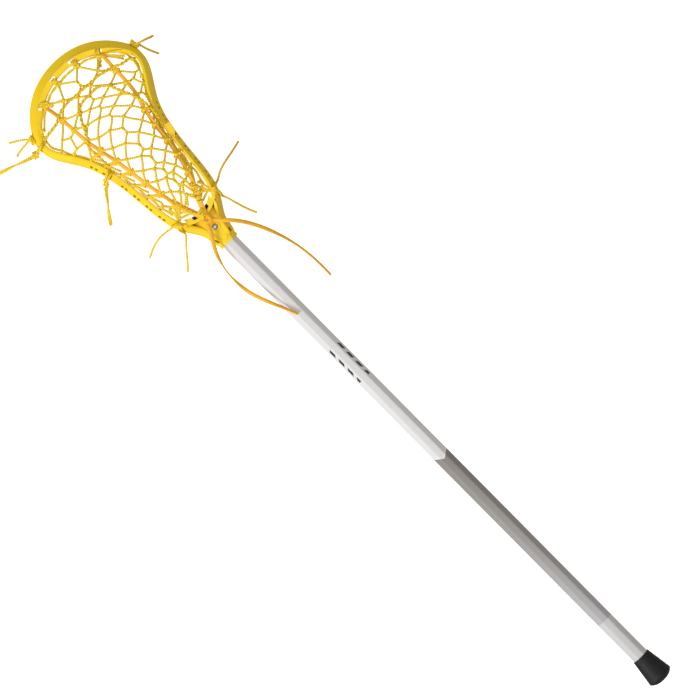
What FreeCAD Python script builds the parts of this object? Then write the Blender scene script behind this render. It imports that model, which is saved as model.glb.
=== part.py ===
import FreeCAD, Part

import math
import os

import Sketcher
from FreeCAD import Placement, Rotation, Vector

# A women's lacrosse stick lying face down on a flat surface.
# +X runs along the shaft from the butt to the scoop, +Y to the left, +Z up.
# The origin is on the surface, under the middle of the stick.

doc = FreeCAD.newDocument("lacrosse_stick")

# ---------------------------------------------------------------- driving dimensions

DIMENSIONS = [
    ("half_length", 543, "scoop tip and butt end, each from the origin"),
    ("axis_height", 17.3, "shaft axis above the surface"),
    ("shaft_flats", 22, "octagonal shaft across its flats"),
    ("shaft_length", 806, "32 inch nominal tube"),
    ("shaft_wall", 1.5, "tube wall"),
    ("shaft_edge_radius", 3, "rounding of the eight long edges"),
    ("butt_gap", 7, "cap end beyond the end of the tube"),
    ("cap_length", 41, "rubber end cap"),
    ("cap_neck_diameter", 24.4, "mouth of the cap"),
    ("cap_flare_diameter", 34.6, "widest part of the cap"),
    ("collar_end", 228, "end of the head's socket"),
    ("socket_flats", 27.4, "socket across its flats, outside"),
    ("socket_depth", 42, "length of tube held in the socket"),
    ("wall_thickness", 2.8, "sidewall web"),
    ("rim_width", 5, "face rim, the land that lies on the surface"),
    ("rail_height", 42, "back rail of the sidewalls"),
    ("scoop_height", 24, "back rail at the scoop tip"),
    ("rail_flange", 4.4, "width of the back rail along the sidewalls"),
    ("scoop_flange", 8.6, "width of the back rail at the scoop tip"),
    ("side_band", 10, "face rim to inner edge of the rail, sidewalls"),
    ("scoop_band", 19, "face rim to inner edge of the rail, scoop tip"),
    ("shoulder_drop", 10, "rail top down to the knee of the sloping shoulder"),
    ("stop_radius", 36.9, "curve of the ball stop wall"),
    ("stop_wall", 4, "thickness of the ball stop wall"),
    ("stop_height", 38.5, "top of the ball stop wall"),
    ("pad_thickness", 4.6, "foam ball stop pad"),
    ("plate_height", 31.8, "back plate that carries the screw"),
    ("screw_position", 253.5, "screw along the shaft"),
    ("screw_diameter", 4, "screw shank"),
    ("screw_head_diameter", 7.2, "screw head"),
    ("screw_length", 8, "shank under the head"),
    ("lace_diameter", 2.4, "braided nylon lace"),
    ("cord_diameter", 3.6, "shooting cord, a twisted pair"),
    ("thong_width", 5, "leather thong"),
    ("thong_thickness", 1.6, "leather thong"),
    ("pocket_depth", 17, "crown of the pocket above the rails"),
    ("string_hole", 4.2, "lacing holes of the sidewalls"),
    ("surface_gap", 0.8, "clearance between laced parts"),
]

sheet = doc.addObject("Spreadsheet::Sheet", "Dimensions")
for row, (alias, number, meaning) in enumerate(DIMENSIONS, start=1):
    sheet.set("A%d" % row, meaning)
    sheet.set("B%d" % row, str(number))
    sheet.setAlias("B%d" % row, alias)
doc.recompute()


def size(alias):
    return float(sheet.get(alias))


# ---------------------------------------------------------------- outlines of the head

# Half of the face outline, (x, half width), from the socket to the scoop tip.
FACE_OUTLINE = [
    (234, 13.6),
    (248, 16.6),
    (264, 24.2),
    (286, 36.6),
    (308, 42.5),
    (338, 45.8),
    (384, 51.5),
    (421, 63.2),
    (449, 80.4),
    (476, 88.7),
    (504, 77.5),
    (526, 56.0),
    (539, 29.0),
]
# Half width of the hole inside the back rail, (x, half width).
POCKET_OUTLINE = [
    (279, 17),
    (297, 28),
    (317, 32.5),
    (338, 34.8),
    (370, 38.6),
    (398, 44.5),
    (428, 56.5),
    (452, 70),
    (476, 77),
    (496, 66),
    (510, 50),
    (520, 26),
]
# Centre lines of the thongs, (x, distance from the middle), from the throat to the scoop slots.
# The pocket is laced a little towards the right wall.
LEFT_THONG = [
    (272, 3.4),
    (281, 6.5),
    (302, 14),
    (328, 19),
    (349, 23),
    (370, 26),
    (392, 29),
    (418, 34.5),
    (441, 38.5),
    (466, 40.5),
    (494, 43),
    (505, 46),
]
RIGHT_THONG = [
    (272, 3.4),
    (281, 6.5),
    (296, 13),
    (310, 19),
    (328, 25),
    (349, 30),
    (372, 34),
    (395, 36.5),
    (420, 41.5),
    (440, 47),
    (458, 49),
    (490, 50),
    (505, 50),
]
THONGS = {1: LEFT_THONG, -1: RIGHT_THONG}
SCOOP_START = 430  # the walls come down from the rail height from here to the tip


def along(table, x):
    """Value of a table of (x, value) at x, straight between its rows."""
    for (x0, v0), (x1, v1) in zip(table, table[1:]):
        if x <= x1:
            return v0 + (v1 - v0) * (max(x, x0) - x0) / (x1 - x0)
    return table[-1][1]


def ease(start, end, x):
    """0 before start, 1 after end, and a smooth step between."""
    part = min(max((x - start) / (end - start), 0), 1)
    return part * part * (3 - 2 * part)


def rail_top(x):
    """Height of the back rail: low at the scoop, full along the walls, low at the socket."""
    tip = size("half_length")
    falling = size("rail_height") - size("scoop_height")
    sinking = size("rail_height") - size("plate_height") + 1
    return size("rail_height") - falling * ease(SCOOP_START, tip, x) - sinking * (1 - ease(240, 292, x))


def rim_base(x):
    """The face rim lifts off the surface as it runs into the socket."""
    return 7 * (1 - ease(236, 292, x)) - 0.4


def pocket_top(x, y):
    """Height of the laced pocket above a point of the plan."""
    half_width = max(along(POCKET_OUTLINE, x), 1)
    across = min(abs(y) / half_width, 1)
    lengthways = min(max((x - 274) / (522 - 274), 0), 1)
    crown = size("pocket_depth") * math.sin(math.pi * lengthways)
    return rail_top(x) - 1.5 + crown * (1 - across * across)


# ---------------------------------------------------------------- helpers


def plane_of(body, role):
    for feature in body.Origin.OriginFeatures:
        if feature.Role == role:
            return feature
    raise ValueError(role)


def sketch_on(body, role, name):
    sketch = body.newObject("Sketcher::SketchObject", name)
    sketch.AttachmentSupport = [(plane_of(body, role), "")]
    sketch.MapMode = "FlatFace"
    return sketch


def new_body(label):
    body = doc.addObject("PartDesign::Body", label)
    body.Label = label
    return body


def bind_octagon(sketch, flats):
    """Closed regular octagon about the sketch origin, flats expression across its flats."""
    turn = math.pi / 8
    corners = [Vector(math.cos(turn * (2 * i + 1)), math.sin(turn * (2 * i + 1)), 0) * 10 for i in range(8)]
    for index in range(8):
        sketch.addGeometry(Part.LineSegment(corners[index], corners[(index + 1) % 8]), False)
    ring = sketch.addGeometry(Part.Circle(Vector(0, 0, 0), Vector(0, 0, 1), 10), True)
    sketch.addConstraint(Sketcher.Constraint("Coincident", ring, 3, -1, 1))
    for index in range(8):
        sketch.addConstraint(Sketcher.Constraint("Coincident", index, 2, (index + 1) % 8, 1))
        sketch.addConstraint(Sketcher.Constraint("PointOnObject", index, 1, ring))
    for index in range(7):
        sketch.addConstraint(Sketcher.Constraint("Equal", index, index + 1))
    sketch.addConstraint(Sketcher.Constraint("Vertical", 7))
    sketch.addConstraint(Sketcher.Constraint("Radius", ring, 10))
    number = sketch.ConstraintCount - 1
    sketch.renameConstraint(number, "corner_radius")
    sketch.setExpression("Constraints.corner_radius", "%s / 2 / cos(22.5 deg)" % flats)


def polyline_sketch(sketch, points):
    """Closed outline of straight lines through the points."""
    for index, point in enumerate(points):
        following = points[(index + 1) % len(points)]
        sketch.addGeometry(Part.LineSegment(Vector(*point, 0), Vector(*following, 0)), False)
    for index in range(len(points)):
        sketch.addConstraint(Sketcher.Constraint("Coincident", index, 2, (index + 1) % len(points), 1))


def add_shape(label, shape):
    feature = doc.addObject("Part::Feature", label)
    feature.Label = label
    feature.Shape = shape
    feature.Placement = Placement(Vector(0, 0, 0), Rotation())
    return feature


def box(low, high):
    span = Vector(*high) - Vector(*low)
    return Part.makeBox(span.x, span.y, span.z, Vector(*low))


def prism(points, base, top):
    """Upright prism over a closed plan outline."""
    wire = Part.makePolygon([Vector(x, y, base) for x, y in points + points[:1]])
    return Part.Face(wire).extrude(Vector(0, 0, top - base))


def octagon_bar(flats, start, end):
    """Octagonal bar about the shaft axis, from x = start to x = end."""
    radius = flats / 2 / math.cos(math.pi / 8)
    height = size("axis_height")
    corners = []
    for index in range(9):
        angle = math.pi / 8 * (2 * index + 1)
        corners.append(Vector(start, radius * math.cos(angle), height + radius * math.sin(angle)))
    return Part.Face(Part.makePolygon(corners)).extrude(Vector(end - start, 0, 0))


def tube_along(points, diameter):
    """Round cord on straight runs joined by tangent arcs; returns the solid, length and smallest radius."""
    points = [Vector(*point) for point in points]
    edges = []
    smallest = float("inf")
    start = points[0]
    for before, corner, after in zip(points, points[1:], points[2:]):
        back = (before - corner).normalize()
        ahead = (after - corner).normalize()
        setback = 0.45 * min(before.distanceToPoint(corner), after.distanceToPoint(corner))
        half_turn = (math.pi - back.getAngle(ahead)) / 2
        radius = setback / math.tan(half_turn)
        smallest = min(smallest, radius)
        entry = corner + back * setback
        leave = corner + ahead * setback
        middle_way = (back + ahead).normalize()
        middle = corner + middle_way * (radius / math.cos(half_turn) - radius)
        edges.append(Part.LineSegment(start, entry).toShape())
        edges.append(Part.Arc(entry, middle, leave).toShape())
        start = leave
    edges.append(Part.LineSegment(start, points[-1]).toShape())
    path = Part.Wire(edges)
    heading = points[1] - points[0]
    ring = Part.Wire(Part.Circle(points[0], heading, diameter / 2).toShape())
    solid = path.makePipeShell([ring], True, False)
    expected = path.Length * math.pi * diameter * diameter / 4
    if abs(solid.Volume / expected - 1) > 0.02:
        raise ValueError("tube volume %.1f, expected %.1f" % (solid.Volume, expected))
    return solid, path.Length, smallest


def add_cord(label, points, diameter):
    solid, length, radius = tube_along(points, diameter)
    print("%-24s length %6.1f  smallest radius %5.1f  diameters %4.1f" % (label, length, radius, radius / diameter))
    return add_shape(label, solid)


def ribbon(stations, below, above):
    """Closed strip from (point on one edge, point on the other), each grown down and up by the given amounts."""
    sections = []
    for edge_points in stations:
        lower = [point - Vector(0, 0, below) for point in edge_points]
        upper = [point + Vector(0, 0, above) for point in reversed(edge_points)]
        sections.append(Part.makePolygon(lower + upper + lower[:1]))
    return Part.makeLoft(sections, True, True)


# ---------------------------------------------------------------- shaft and its fittings


def make_shaft():
    body = new_body("shaft")
    outline = sketch_on(body, "YZ_Plane", "shaft_outline")
    bind_octagon(outline, "Dimensions.shaft_flats")
    tube = body.newObject("PartDesign::Pad", "shaft_bar")
    tube.Profile = outline
    tube.setExpression("Length", "Dimensions.shaft_length")
    doc.recompute()
    long_edges = []
    for number, edge in enumerate(tube.Shape.Edges, start=1):
        if abs(edge.Length - size("shaft_length")) < 0.01:
            long_edges.append("Edge%d" % number)
    rounding = body.newObject("PartDesign::Fillet", "shaft_rounding")
    rounding.Base = (tube, long_edges)
    rounding.setExpression("Radius", "Dimensions.shaft_edge_radius")
    doc.recompute()
    inside = sketch_on(body, "YZ_Plane", "shaft_inside")
    bind_octagon(inside, "(Dimensions.shaft_flats - 2 * Dimensions.shaft_wall)")
    hollow = body.newObject("PartDesign::Pocket", "shaft_hollow")
    hollow.Profile = inside
    hollow.Type = "ThroughAll"
    hollow.Midplane = True
    doc.recompute()
    start = size("butt_gap") - size("half_length")
    mark = sketch_on(body, "XY_Plane", "screw_hole_mark")
    mark.addGeometry(Part.Circle(Vector(size("screw_position") - start, 0, 0), Vector(0, 0, 1), 2), False)
    mark.addConstraint(Sketcher.Constraint("Diameter", 0, 4))
    mark.renameConstraint(0, "shank")
    mark.setExpression("Constraints.shank", "Dimensions.screw_diameter")
    hole = body.newObject("PartDesign::Pocket", "screw_hole")
    hole.Profile = mark
    hole.Type = "Length"
    hole.Reversed = True
    hole.setExpression("Length", "Dimensions.shaft_flats")
    body.Tip = hole
    body.Placement = Placement(Vector(start, 0, size("axis_height")), Rotation())
    return body


def make_end_cap():
    """Rubber cap turned about the shaft axis, with an octagonal mouth for the tube."""
    body = new_body("end_cap")
    half = sketch_on(body, "XZ_Plane", "cap_profile")
    length = size("cap_length")
    neck = size("cap_neck_diameter") / 2
    flare = size("cap_flare_diameter") / 2
    widest = 6.2
    dome = [(0, 0), (0, 6.5), (1.3, 11), (3.6, 14.8), (widest, flare)]
    polyline_sketch(half, dome + [(length, neck), (length, 0)])
    turned = body.newObject("PartDesign::Revolution", "cap_turned")
    turned.Profile = half
    turned.ReferenceAxis = (half, ["H_Axis"])
    turned.Angle = 360
    doc.recompute()
    rim_edges = []
    for number, edge in enumerate(turned.Shape.Edges, start=1):
        if abs(edge.BoundBox.XMax - widest) < 0.05 and edge.BoundBox.XLength < 0.05:
            rim_edges.append("Edge%d" % number)
    rounding = body.newObject("PartDesign::Fillet", "cap_rounding")
    rounding.Base = (turned, rim_edges)
    rounding.Radius = 1.5
    doc.recompute()
    mouth = sketch_on(body, "YZ_Plane", "cap_mouth")
    bind_octagon(mouth, "Dimensions.shaft_flats")
    mouth.AttachmentOffset = Placement(Vector(0, 0, size("butt_gap")), Rotation())
    mouth.setExpression("AttachmentOffset.Base.z", "Dimensions.butt_gap")
    bore = body.newObject("PartDesign::Pocket", "cap_bore")
    bore.Profile = mouth
    bore.Type = "Length"
    bore.Reversed = True
    bore.setExpression("Length", "Dimensions.cap_length")
    body.Tip = bore
    body.Placement = Placement(Vector(-size("half_length"), 0, size("axis_height")), Rotation())
    return body


def make_screw():
    """Pan head screw through the back plate into the tube, head up."""
    body = new_body("head_screw")
    half = sketch_on(body, "XZ_Plane", "screw_profile")
    shank = size("screw_diameter") / 2
    head = size("screw_head_diameter") / 2
    depth = size("screw_length")
    tip_cone, edge_height, crown_height = 1.6, 1.2, 2.4
    outline = [(0, -depth), (shank, tip_cone - depth), (shank, 0), (head, 0), (head, edge_height)]
    outline += [(head * 0.55, crown_height), (0, crown_height)]
    polyline_sketch(half, outline)
    turned = body.newObject("PartDesign::Revolution", "screw_turned")
    turned.Profile = half
    turned.ReferenceAxis = (half, ["V_Axis"])
    turned.Angle = 360
    doc.recompute()
    cross = sketch_on(body, "XY_Plane", "cross_recess")
    long_half, short_half = head * 0.6, 0.45
    arms = [(long_half, short_half), (short_half, short_half), (short_half, long_half)]
    corners = []
    for sign_x, sign_y, order in ((1, 1, arms), (-1, 1, arms[::-1]), (-1, -1, arms), (1, -1, arms[::-1])):
        corners += [(sign_x * x, sign_y * y) for x, y in order]
    polyline_sketch(cross, corners)
    cross.AttachmentOffset = Placement(Vector(0, 0, edge_height), Rotation())
    recess = body.newObject("PartDesign::Pocket", "screw_recess")
    recess.Profile = cross
    recess.Type = "Length"
    recess.Length = crown_height
    recess.Reversed = True
    body.Tip = recess
    body.Placement = Placement(Vector(size("screw_position"), 0, size("plate_height") - 0.6), Rotation())
    return body


# ---------------------------------------------------------------- head


def outline_curve():
    left = [Vector(x, y, 0) for x, y in FACE_OUTLINE]
    right = [Vector(x, -y, 0) for x, y in reversed(FACE_OUTLINE)]
    curve = Part.BSplineCurve()
    curve.interpolate(left + [Vector(size("half_length"), 0, 0)] + right)
    return curve


def wall_frames(count):
    """Evenly spaced (point, inward direction) pairs along the face outline."""
    curve = outline_curve()
    frames = []
    for point in curve.toShape().discretize(Number=count):
        tangent = curve.tangent(curve.parameter(point))[0]
        frames.append((point, Vector(tangent.y, -tangent.x, 0).normalize()))
    return frames


def scoop_share(x):
    return ease(462, size("half_length") - 8, x)


def band_width(x):
    return size("side_band") + (size("scoop_band") - size("side_band")) * scoop_share(x)


def flange_width(x):
    return size("rail_flange") + (size("scoop_flange") - size("rail_flange")) * scoop_share(x)


def wall_section(point, inward):
    """C-shaped section: face rim below, upright web, sloping shoulder and back rail on top."""
    base = rim_base(point.x)
    top = rail_top(point.x)
    band = band_width(point.x)
    flange = flange_width(point.x)
    web = size("wall_thickness")
    rim = size("rim_width")
    knee = top - size("shoulder_drop")
    profile = [
        (0.9, base),
        (rim - 0.6, base),
        (rim, base + 0.9),
        (rim, base + 3.2),
        (web + 0.2, base + 5),
        (web - 0.1, knee - 1.6),
        (band - flange + 0.4, top - 6.2),
        (band - 0.5, top - 4.4),
        (band, top - 3.4),
        (band, top - 1.1),
        (band - 1.1, top),
        (band - flange + 0.9, top),
        (band - flange, top - 1.2),
        (0.3, knee),
        (0, base + 2.2),
        (0, base + 1.1),
    ]
    corners = [point + inward * depth + Vector(0, 0, z) for depth, z in profile]
    return Part.makePolygon(corners + corners[:1])


def make_throat():
    """Solid throat between the walls: back plate, side webs, ball stop wall and socket."""
    socket = octagon_bar(size("socket_flats"), size("collar_end"), 272)
    long_edges = [edge for edge in socket.Edges if abs(edge.Length - (272 - size("collar_end"))) < 0.01]
    socket = socket.makeFillet(3.2, long_edges)
    stop_centre = Vector(311.6, 0, 0)
    inner = size("stop_radius")
    outer = inner + size("stop_wall")
    full = Part.makeCylinder(outer, size("stop_height") - 1, stop_centre + Vector(0, 0, 1))
    hollow = Part.makeCylinder(inner, 60, stop_centre - Vector(0, 0, 10))
    stop_wall = full.cut(hollow).common(box((265, -32, -1), (290, 32, 60)))
    # The wall thickens at both ends of the pad and holds it.
    pad_seat = Part.makeCylinder(inner - size("pad_thickness") + 0.4, 60, stop_centre - Vector(0, 0, 10))
    cheeks = full.cut(pad_seat).common(box((262, 13.2, -1), (290, 21.5, 60)))
    cheeks = cheeks.fuse(full.cut(pad_seat).common(box((262, -21.5, -1), (290, -13.2, 60))))
    web = prism([(238, 13), (250, 16), (264, 22), (286, 32), (286, -32), (264, -22), (250, -16), (238, -13)], 18, 22)
    plate_top = size("plate_height")
    plate = prism([(231, 0), (243, 9.6), (262, 11.5), (275, 17), (275, -17), (262, -11.5), (243, -9.6)], 22, plate_top)
    ring = Part.makeCylinder(6.4, 3, Vector(size("screw_position"), 0, plate_top - 2.2))
    throat = socket.fuse([stop_wall, cheeks, web.cut(hollow), plate.cut(hollow), ring])
    return throat.removeSplitter()


def make_struts():
    """Short strut on each sidewall that closes the step from the rail out to the face rim."""
    struts = []
    for side in (1, -1):
        outer = []
        inner = []
        for x, depth in ((367, 4.6), (374, 0.5), (380, 0.5), (386, 0.5)):
            point, inward = frame_at(x, side)
            outer.append(point + inward * depth)
            inner.append(point + inward * (band_width(x) - flange_width(x) + 2))
        corners = [(corner.x, corner.y) for corner in outer + inner[::-1]]
        struts.append(prism(corners, 28, rail_top(380) - 0.05))
    return struts


def make_head():
    frames = wall_frames(41)
    walls = Part.makeLoft([wall_section(point, inward) for point, inward in frames], True, False)
    solid = walls.fuse([make_throat()] + make_struts())
    tools = [box((200, -120, -5), (560, 120, 0))]
    tools.append(octagon_bar(size("shaft_flats"), size("collar_end") - 5, size("collar_end") + size("socket_depth")))
    screw_x = size("screw_position")
    head_radius = size("screw_head_diameter") / 2 + 0.3
    seat = size("plate_height") - 0.6
    tools.append(Part.makeCylinder(size("screw_diameter") / 2, 20, Vector(screw_x, 0, size("axis_height"))))
    tools.append(Part.makeCylinder(head_radius, 6, Vector(screw_x, 0, seat)))
    for side in (1, -1):
        # Windows square through the socket's sloping walls, and moulding pockets beside the back plate.
        window = Part.makeBox(5.4, 3.8, 10, Vector(236, -1.9, 8))
        window.Placement = Placement(Vector(0, 0, size("axis_height")), Rotation(Vector(1, 0, 0), -45 * side))
        tools.append(window)
        tools.append(box((273, side * 25 - 2.3, rail_top(275) - 3.6), (277.8, side * 25 + 2.3, 60)))
    for point, inward in scoop_slot_frames():
        slot = Part.makeBox(4.4, 8, 40, Vector(-2.2, -4, -30))
        slot.Placement = Placement(point, Rotation(Vector(1, 0, 0), inward))
        tools.append(slot)
    for point, inward in string_hole_frames():
        # Drilled down through the shoulder into the hollow under the rail.
        mouth = point + inward * 2.6 + Vector(0, 0, rail_top(point.x) - 6.2)
        heading = inward * 0.6 - Vector(0, 0, 0.8)
        tools.append(Part.makeCylinder(size("string_hole") / 2, 8, mouth - heading * 3.2, heading))
    solid = solid.cut(tools)
    if len(solid.Solids) != 1:
        raise ValueError("head is %d solids" % len(solid.Solids))
    return add_shape("head_frame", solid.Solids[0])


def frame_at(x, side):
    """Point of the face outline at x on one side (+1 left), and the inward direction there."""
    best = min(wall_frames(801), key=lambda frame: abs(frame[0].x - x) + (500 if frame[0].y * side < 0 else 0))
    return best


def scoop_slot_frames():
    """Each lashing slot, 5 mm out from the rail's inner edge: (middle at rail height, inward direction)."""
    frames = []
    for x, side in ((541.7, 1), (541.2, -1), (524.0, 1), (523.0, -1)):
        point, inward = frame_at(x, side)
        middle = point + inward * (band_width(point.x) - 5) + Vector(0, 0, rail_top(point.x))
        frames.append((middle, inward))
    return frames


def string_hole_frames():
    """Pairs of lacing holes along both sidewalls."""
    frames = []
    for side in (1, -1):
        for middle in (307, 327, 347, 367, 394, 410):
            for step in (-3.3, 3.3):
                frames.append(frame_at(middle + step, side))
    return frames


def make_stop_pad():
    """Foam pad inside the ball stop wall."""
    centre = Vector(311.6, 0, 4)
    outer = size("stop_radius") - 0.05
    height = size("stop_height") - 5.5
    ring = Part.makeCylinder(outer, height, centre)
    ring = ring.cut(Part.makeCylinder(outer - size("pad_thickness"), height, centre))
    return add_shape("ball_stop_pad", ring.common(box((265, -12.8, -1), (300, 12.8, 60))))


# ---------------------------------------------------------------- lacing of the pocket


def thong_stations(side):
    """The thong lies in the net, and over the top of the ball stop wall at the throat."""
    half = size("thong_width") / 2
    over_wall = size("stop_height") + 1.2
    stations = []
    for x, y in THONGS[side]:
        height = over_wall if x < 290 else pocket_top(x, y)
        stations.append([Vector(x, side * y - half, height), Vector(x, side * y + half, height)])
    return stations


def make_thongs():
    half = size("thong_thickness") / 2
    for side, label in ((1, "left_thong"), (-1, "right_thong")):
        add_shape(label, ribbon(thong_stations(side), half, half))


def net_strip(label, edges_at, first, last, steps):
    """Thin curved panel of net between two edges given as y at each x."""
    half = size("lace_diameter") / 2
    across = 4
    stations = []
    for index in range(steps + 1):
        x = first + (last - first) * index / steps
        start, end = edges_at(x)
        row = []
        for part in range(across + 1):
            y = start + (end - start) * part / across
            row.append(Vector(x, y, pocket_top(x, y)))
        stations.append(row)
    return add_shape(label, ribbon(stations, half, half))


def make_nets():
    gap = size("thong_width") / 2 + size("surface_gap")

    def centre(x):
        return gap - along(RIGHT_THONG, x), along(LEFT_THONG, x) - gap

    def left(x):
        return along(LEFT_THONG, x) + gap, along(POCKET_OUTLINE, x) - 2.4

    def right(x):
        return 2.4 - along(POCKET_OUTLINE, x), -along(RIGHT_THONG, x) - gap

    net_strip("cross_lace_net", centre, 290, 508, 11)
    net_strip("left_side_net", left, 300, 498, 11)
    net_strip("right_side_net", right, 300, 498, 11)


def make_shooting_cords():
    diameter = size("cord_diameter")
    lift = size("lace_diameter") / 2 + diameter / 2 + 2
    upper = [(476, 73), (481, 60), (484, 44), (488, 26), (490, 8), (490, -8), (488, -26), (484, -44), (481, -60), (476, -73)]
    arch = [(400, 40), (418, 41), (440, 37), (462, 29), (474, 16), (479, 0), (474, -16), (462, -29), (440, -37), (418, -41)]
    arch.append((400, -40))
    for label, plan in (("upper_shooting_cord", upper), ("lower_shooting_cord", arch)):
        points = [(x, y, pocket_top(x, y) + lift) for x, y in plan]
        add_cord(label, points, diameter)


def make_scoop_lacing():
    """Lace along the inside of the scoop, and its four lashings through the slots."""
    lace = size("lace_diameter")
    ends = Vector(508, 44, rail_top(520))
    crown = Vector(519.6, 0, rail_top(540))
    mirrored = Vector(ends.x, -ends.y, ends.z)
    arc = Part.Arc(ends, crown, mirrored)
    heading = arc.tangent(arc.FirstParameter)[0]
    ring = Part.Wire(Part.Circle(ends, heading, lace / 2).toShape())
    add_shape("scoop_lace", Part.Wire(arc.toShape()).makePipeShell([ring], True, False))
    loops = []
    for point, inward in scoop_slot_frames():
        outer = Part.makeBox(8.4, 6.6, 9.2, Vector(-1.2, -3.3, -7.4))
        inner = Part.makeBox(5.2, 6.6, 6.4, Vector(0.5, -3.3, -6))
        loop = outer.cut(inner)
        loop.Placement = Placement(point, Rotation(Vector(1, 0, 0), inward))
        loops.append(loop)
    add_shape("scoop_lashings", Part.makeCompound(loops))


def ellipsoid(centre, radii):
    stretch = FreeCAD.Matrix()
    stretch.scale(Vector(*radii))
    stretch.move(Vector(*centre))
    return Part.makeSphere(1).transformGeometry(stretch)


def make_knots():
    knots = (
        ("thong_knot", (266.5, 0, 37.2), (3.6, 4.6, 4.2)),
        ("left_shooting_knot", (474.5, 95.5, 30), (5, 5.4, 4.8)),
        ("left_corner_knot", (491, 86.5, 22), (7.6, 3.6, 4.4)),
        ("right_corner_knot", (487, -88.5, 22), (7, 3.4, 4.4)),
        ("left_wall_knot", (389, 57.5, 30), (8, 3.6, 3.8)),
    )
    for label, centre, radii in knots:
        add_shape(label, ellipsoid(centre, radii))


# ---------------------------------------------------------------- free ends


def make_tails():
    lace = size("lace_diameter")
    pair = size("cord_diameter")
    thong = size("thong_width")
    routes = (
        ("left_thong_tail", thong, [
            (262, 3.5, 38), (251, 9, 39.5), (241, 15.5, 39), (228, 22.5, 36.5), (214, 27, 34),
            (199, 29.6, 33), (184, 29.6, 32.6), (168, 28, 32.3), (151, 23, 32), (134, 16, 31.6),
            (118, 9, 31.2), (103, 3, 31),
        ]),
        ("right_thong_tail", thong, [
            (262, -4.5, 38), (252, -13, 39.2), (243, -22, 37), (230, -32, 29), (216, -40, 20),
            (200, -47, 11.5), (183, -53, 5.7), (164, -57.6, 3.4), (146, -60, 2.8), (127, -61, 2.7),
            (109, -60.6, 2.7),
        ]),
        ("left_throat_tail_a", lace, [
            (291, 43.5, 27), (292.2, 51, 27.6), (292.4, 58.5, 26), (291.6, 66, 22), (289.6, 73.5, 15.5),
            (287, 80, 8), (284.6, 85.5, 2.5),
        ]),
        ("left_throat_tail_b", lace, [
            (272.5, 32.5, 24), (267, 38, 24), (260.5, 44, 22), (253.5, 50, 18), (247, 55.6, 12.5),
            (242, 60.5, 6.5), (238.4, 64.4, 2),
        ]),
        ("right_throat_tail_a", lace, [
            (292.5, -43.5, 27), (296.5, -49.5, 27.8), (300, -57, 27), (302.6, -65, 24), (304.4, -73.5, 19),
            (306.4, -82, 12.5), (308.6, -90, 6), (310.4, -96.4, 2),
        ]),
        ("right_throat_tail_b", lace, [
            (274.5, -34, 24), (268.5, -36.6, 24), (261, -38.6, 21.6), (253, -41, 17), (245, -43.6, 11.4),
            (237, -46.8, 6), (230.4, -50, 2),
        ]),
        ("left_wall_tail", pair, [
            (384, 62.4, 29), (377, 68, 28), (370, 73.5, 25.6), (363, 79.5, 20.8), (356.6, 84.8, 14),
            (351, 89, 7), (347.6, 91.6, 2.2),
        ]),
        ("left_corner_tail_a", lace, [
            (497.4, 91, 22), (501, 96, 21.4), (504.4, 100.4, 17.4), (506.6, 103.6, 11), (508.6, 106.6, 4),
            (511.4, 110, 1.6),
        ]),
        ("left_corner_tail_b", lace, [
            (494, 91, 20), (493.4, 98, 19.6), (493, 104.6, 16.4), (492.6, 110, 10.6), (492.2, 114, 3.6),
        ]),
        ("left_shooting_tail", pair, [
            (475.4, 101.6, 30), (478, 110, 30), (481.6, 118.6, 28), (485, 127, 24), (488, 135, 18.6),
            (491, 143, 12), (494, 150.6, 6), (497, 158, 2.4),
        ]),
        ("right_corner_tail_a", lace, [
            (484.6, -92, 26), (482.8, -97.6, 25.6), (481.6, -102.6, 21.6), (480.8, -106.6, 15.4),
            (480.2, -109.8, 8.4), (479.8, -113.4, 2.6),
        ]),
        ("right_corner_tail_b", lace, [
            (482, -93.4, 20), (476.6, -94.6, 19.6), (471, -96.6, 16.6), (466, -99, 11), (461.6, -101.4, 4.6), (458.4, -103, 1.9),
        ]),
    )
    for label, diameter, points in routes:
        add_cord(label, points, diameter)


# ---------------------------------------------------------------- build and write


def sub_parts():
    """The objects that are pieces of the stick: bodies, and shapes outside any body."""
    kinds = ("PartDesign::Body", "Part::Feature")
    return [thing for thing in doc.Objects if thing.TypeId in kinds]


def write_parts():
    doc.recompute()
    for thing in doc.Objects:
        if "Invalid" in thing.State or "Error" in thing.State:
            raise ValueError("%s did not compute: %s" % (thing.Label, thing.State))
    os.makedirs("parts", exist_ok=True)
    for piece in sub_parts():
        shape = piece.Shape
        if shape.isNull() or not shape.isValid() or shape.Volume <= 0:
            raise ValueError("%s has no sound solid" % piece.Label)
        shape.exportStep("parts/%s.step" % piece.Label)
        print("%-24s %9.1f mm3  %s" % (piece.Label, shape.Volume, shape.BoundBox))


make_shaft()
make_end_cap()
make_screw()
make_head()
make_stop_pad()
make_thongs()
make_nets()
make_shooting_cords()
make_scoop_lacing()
make_knots()
make_tails()
write_parts()
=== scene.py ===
import math
import random

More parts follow.
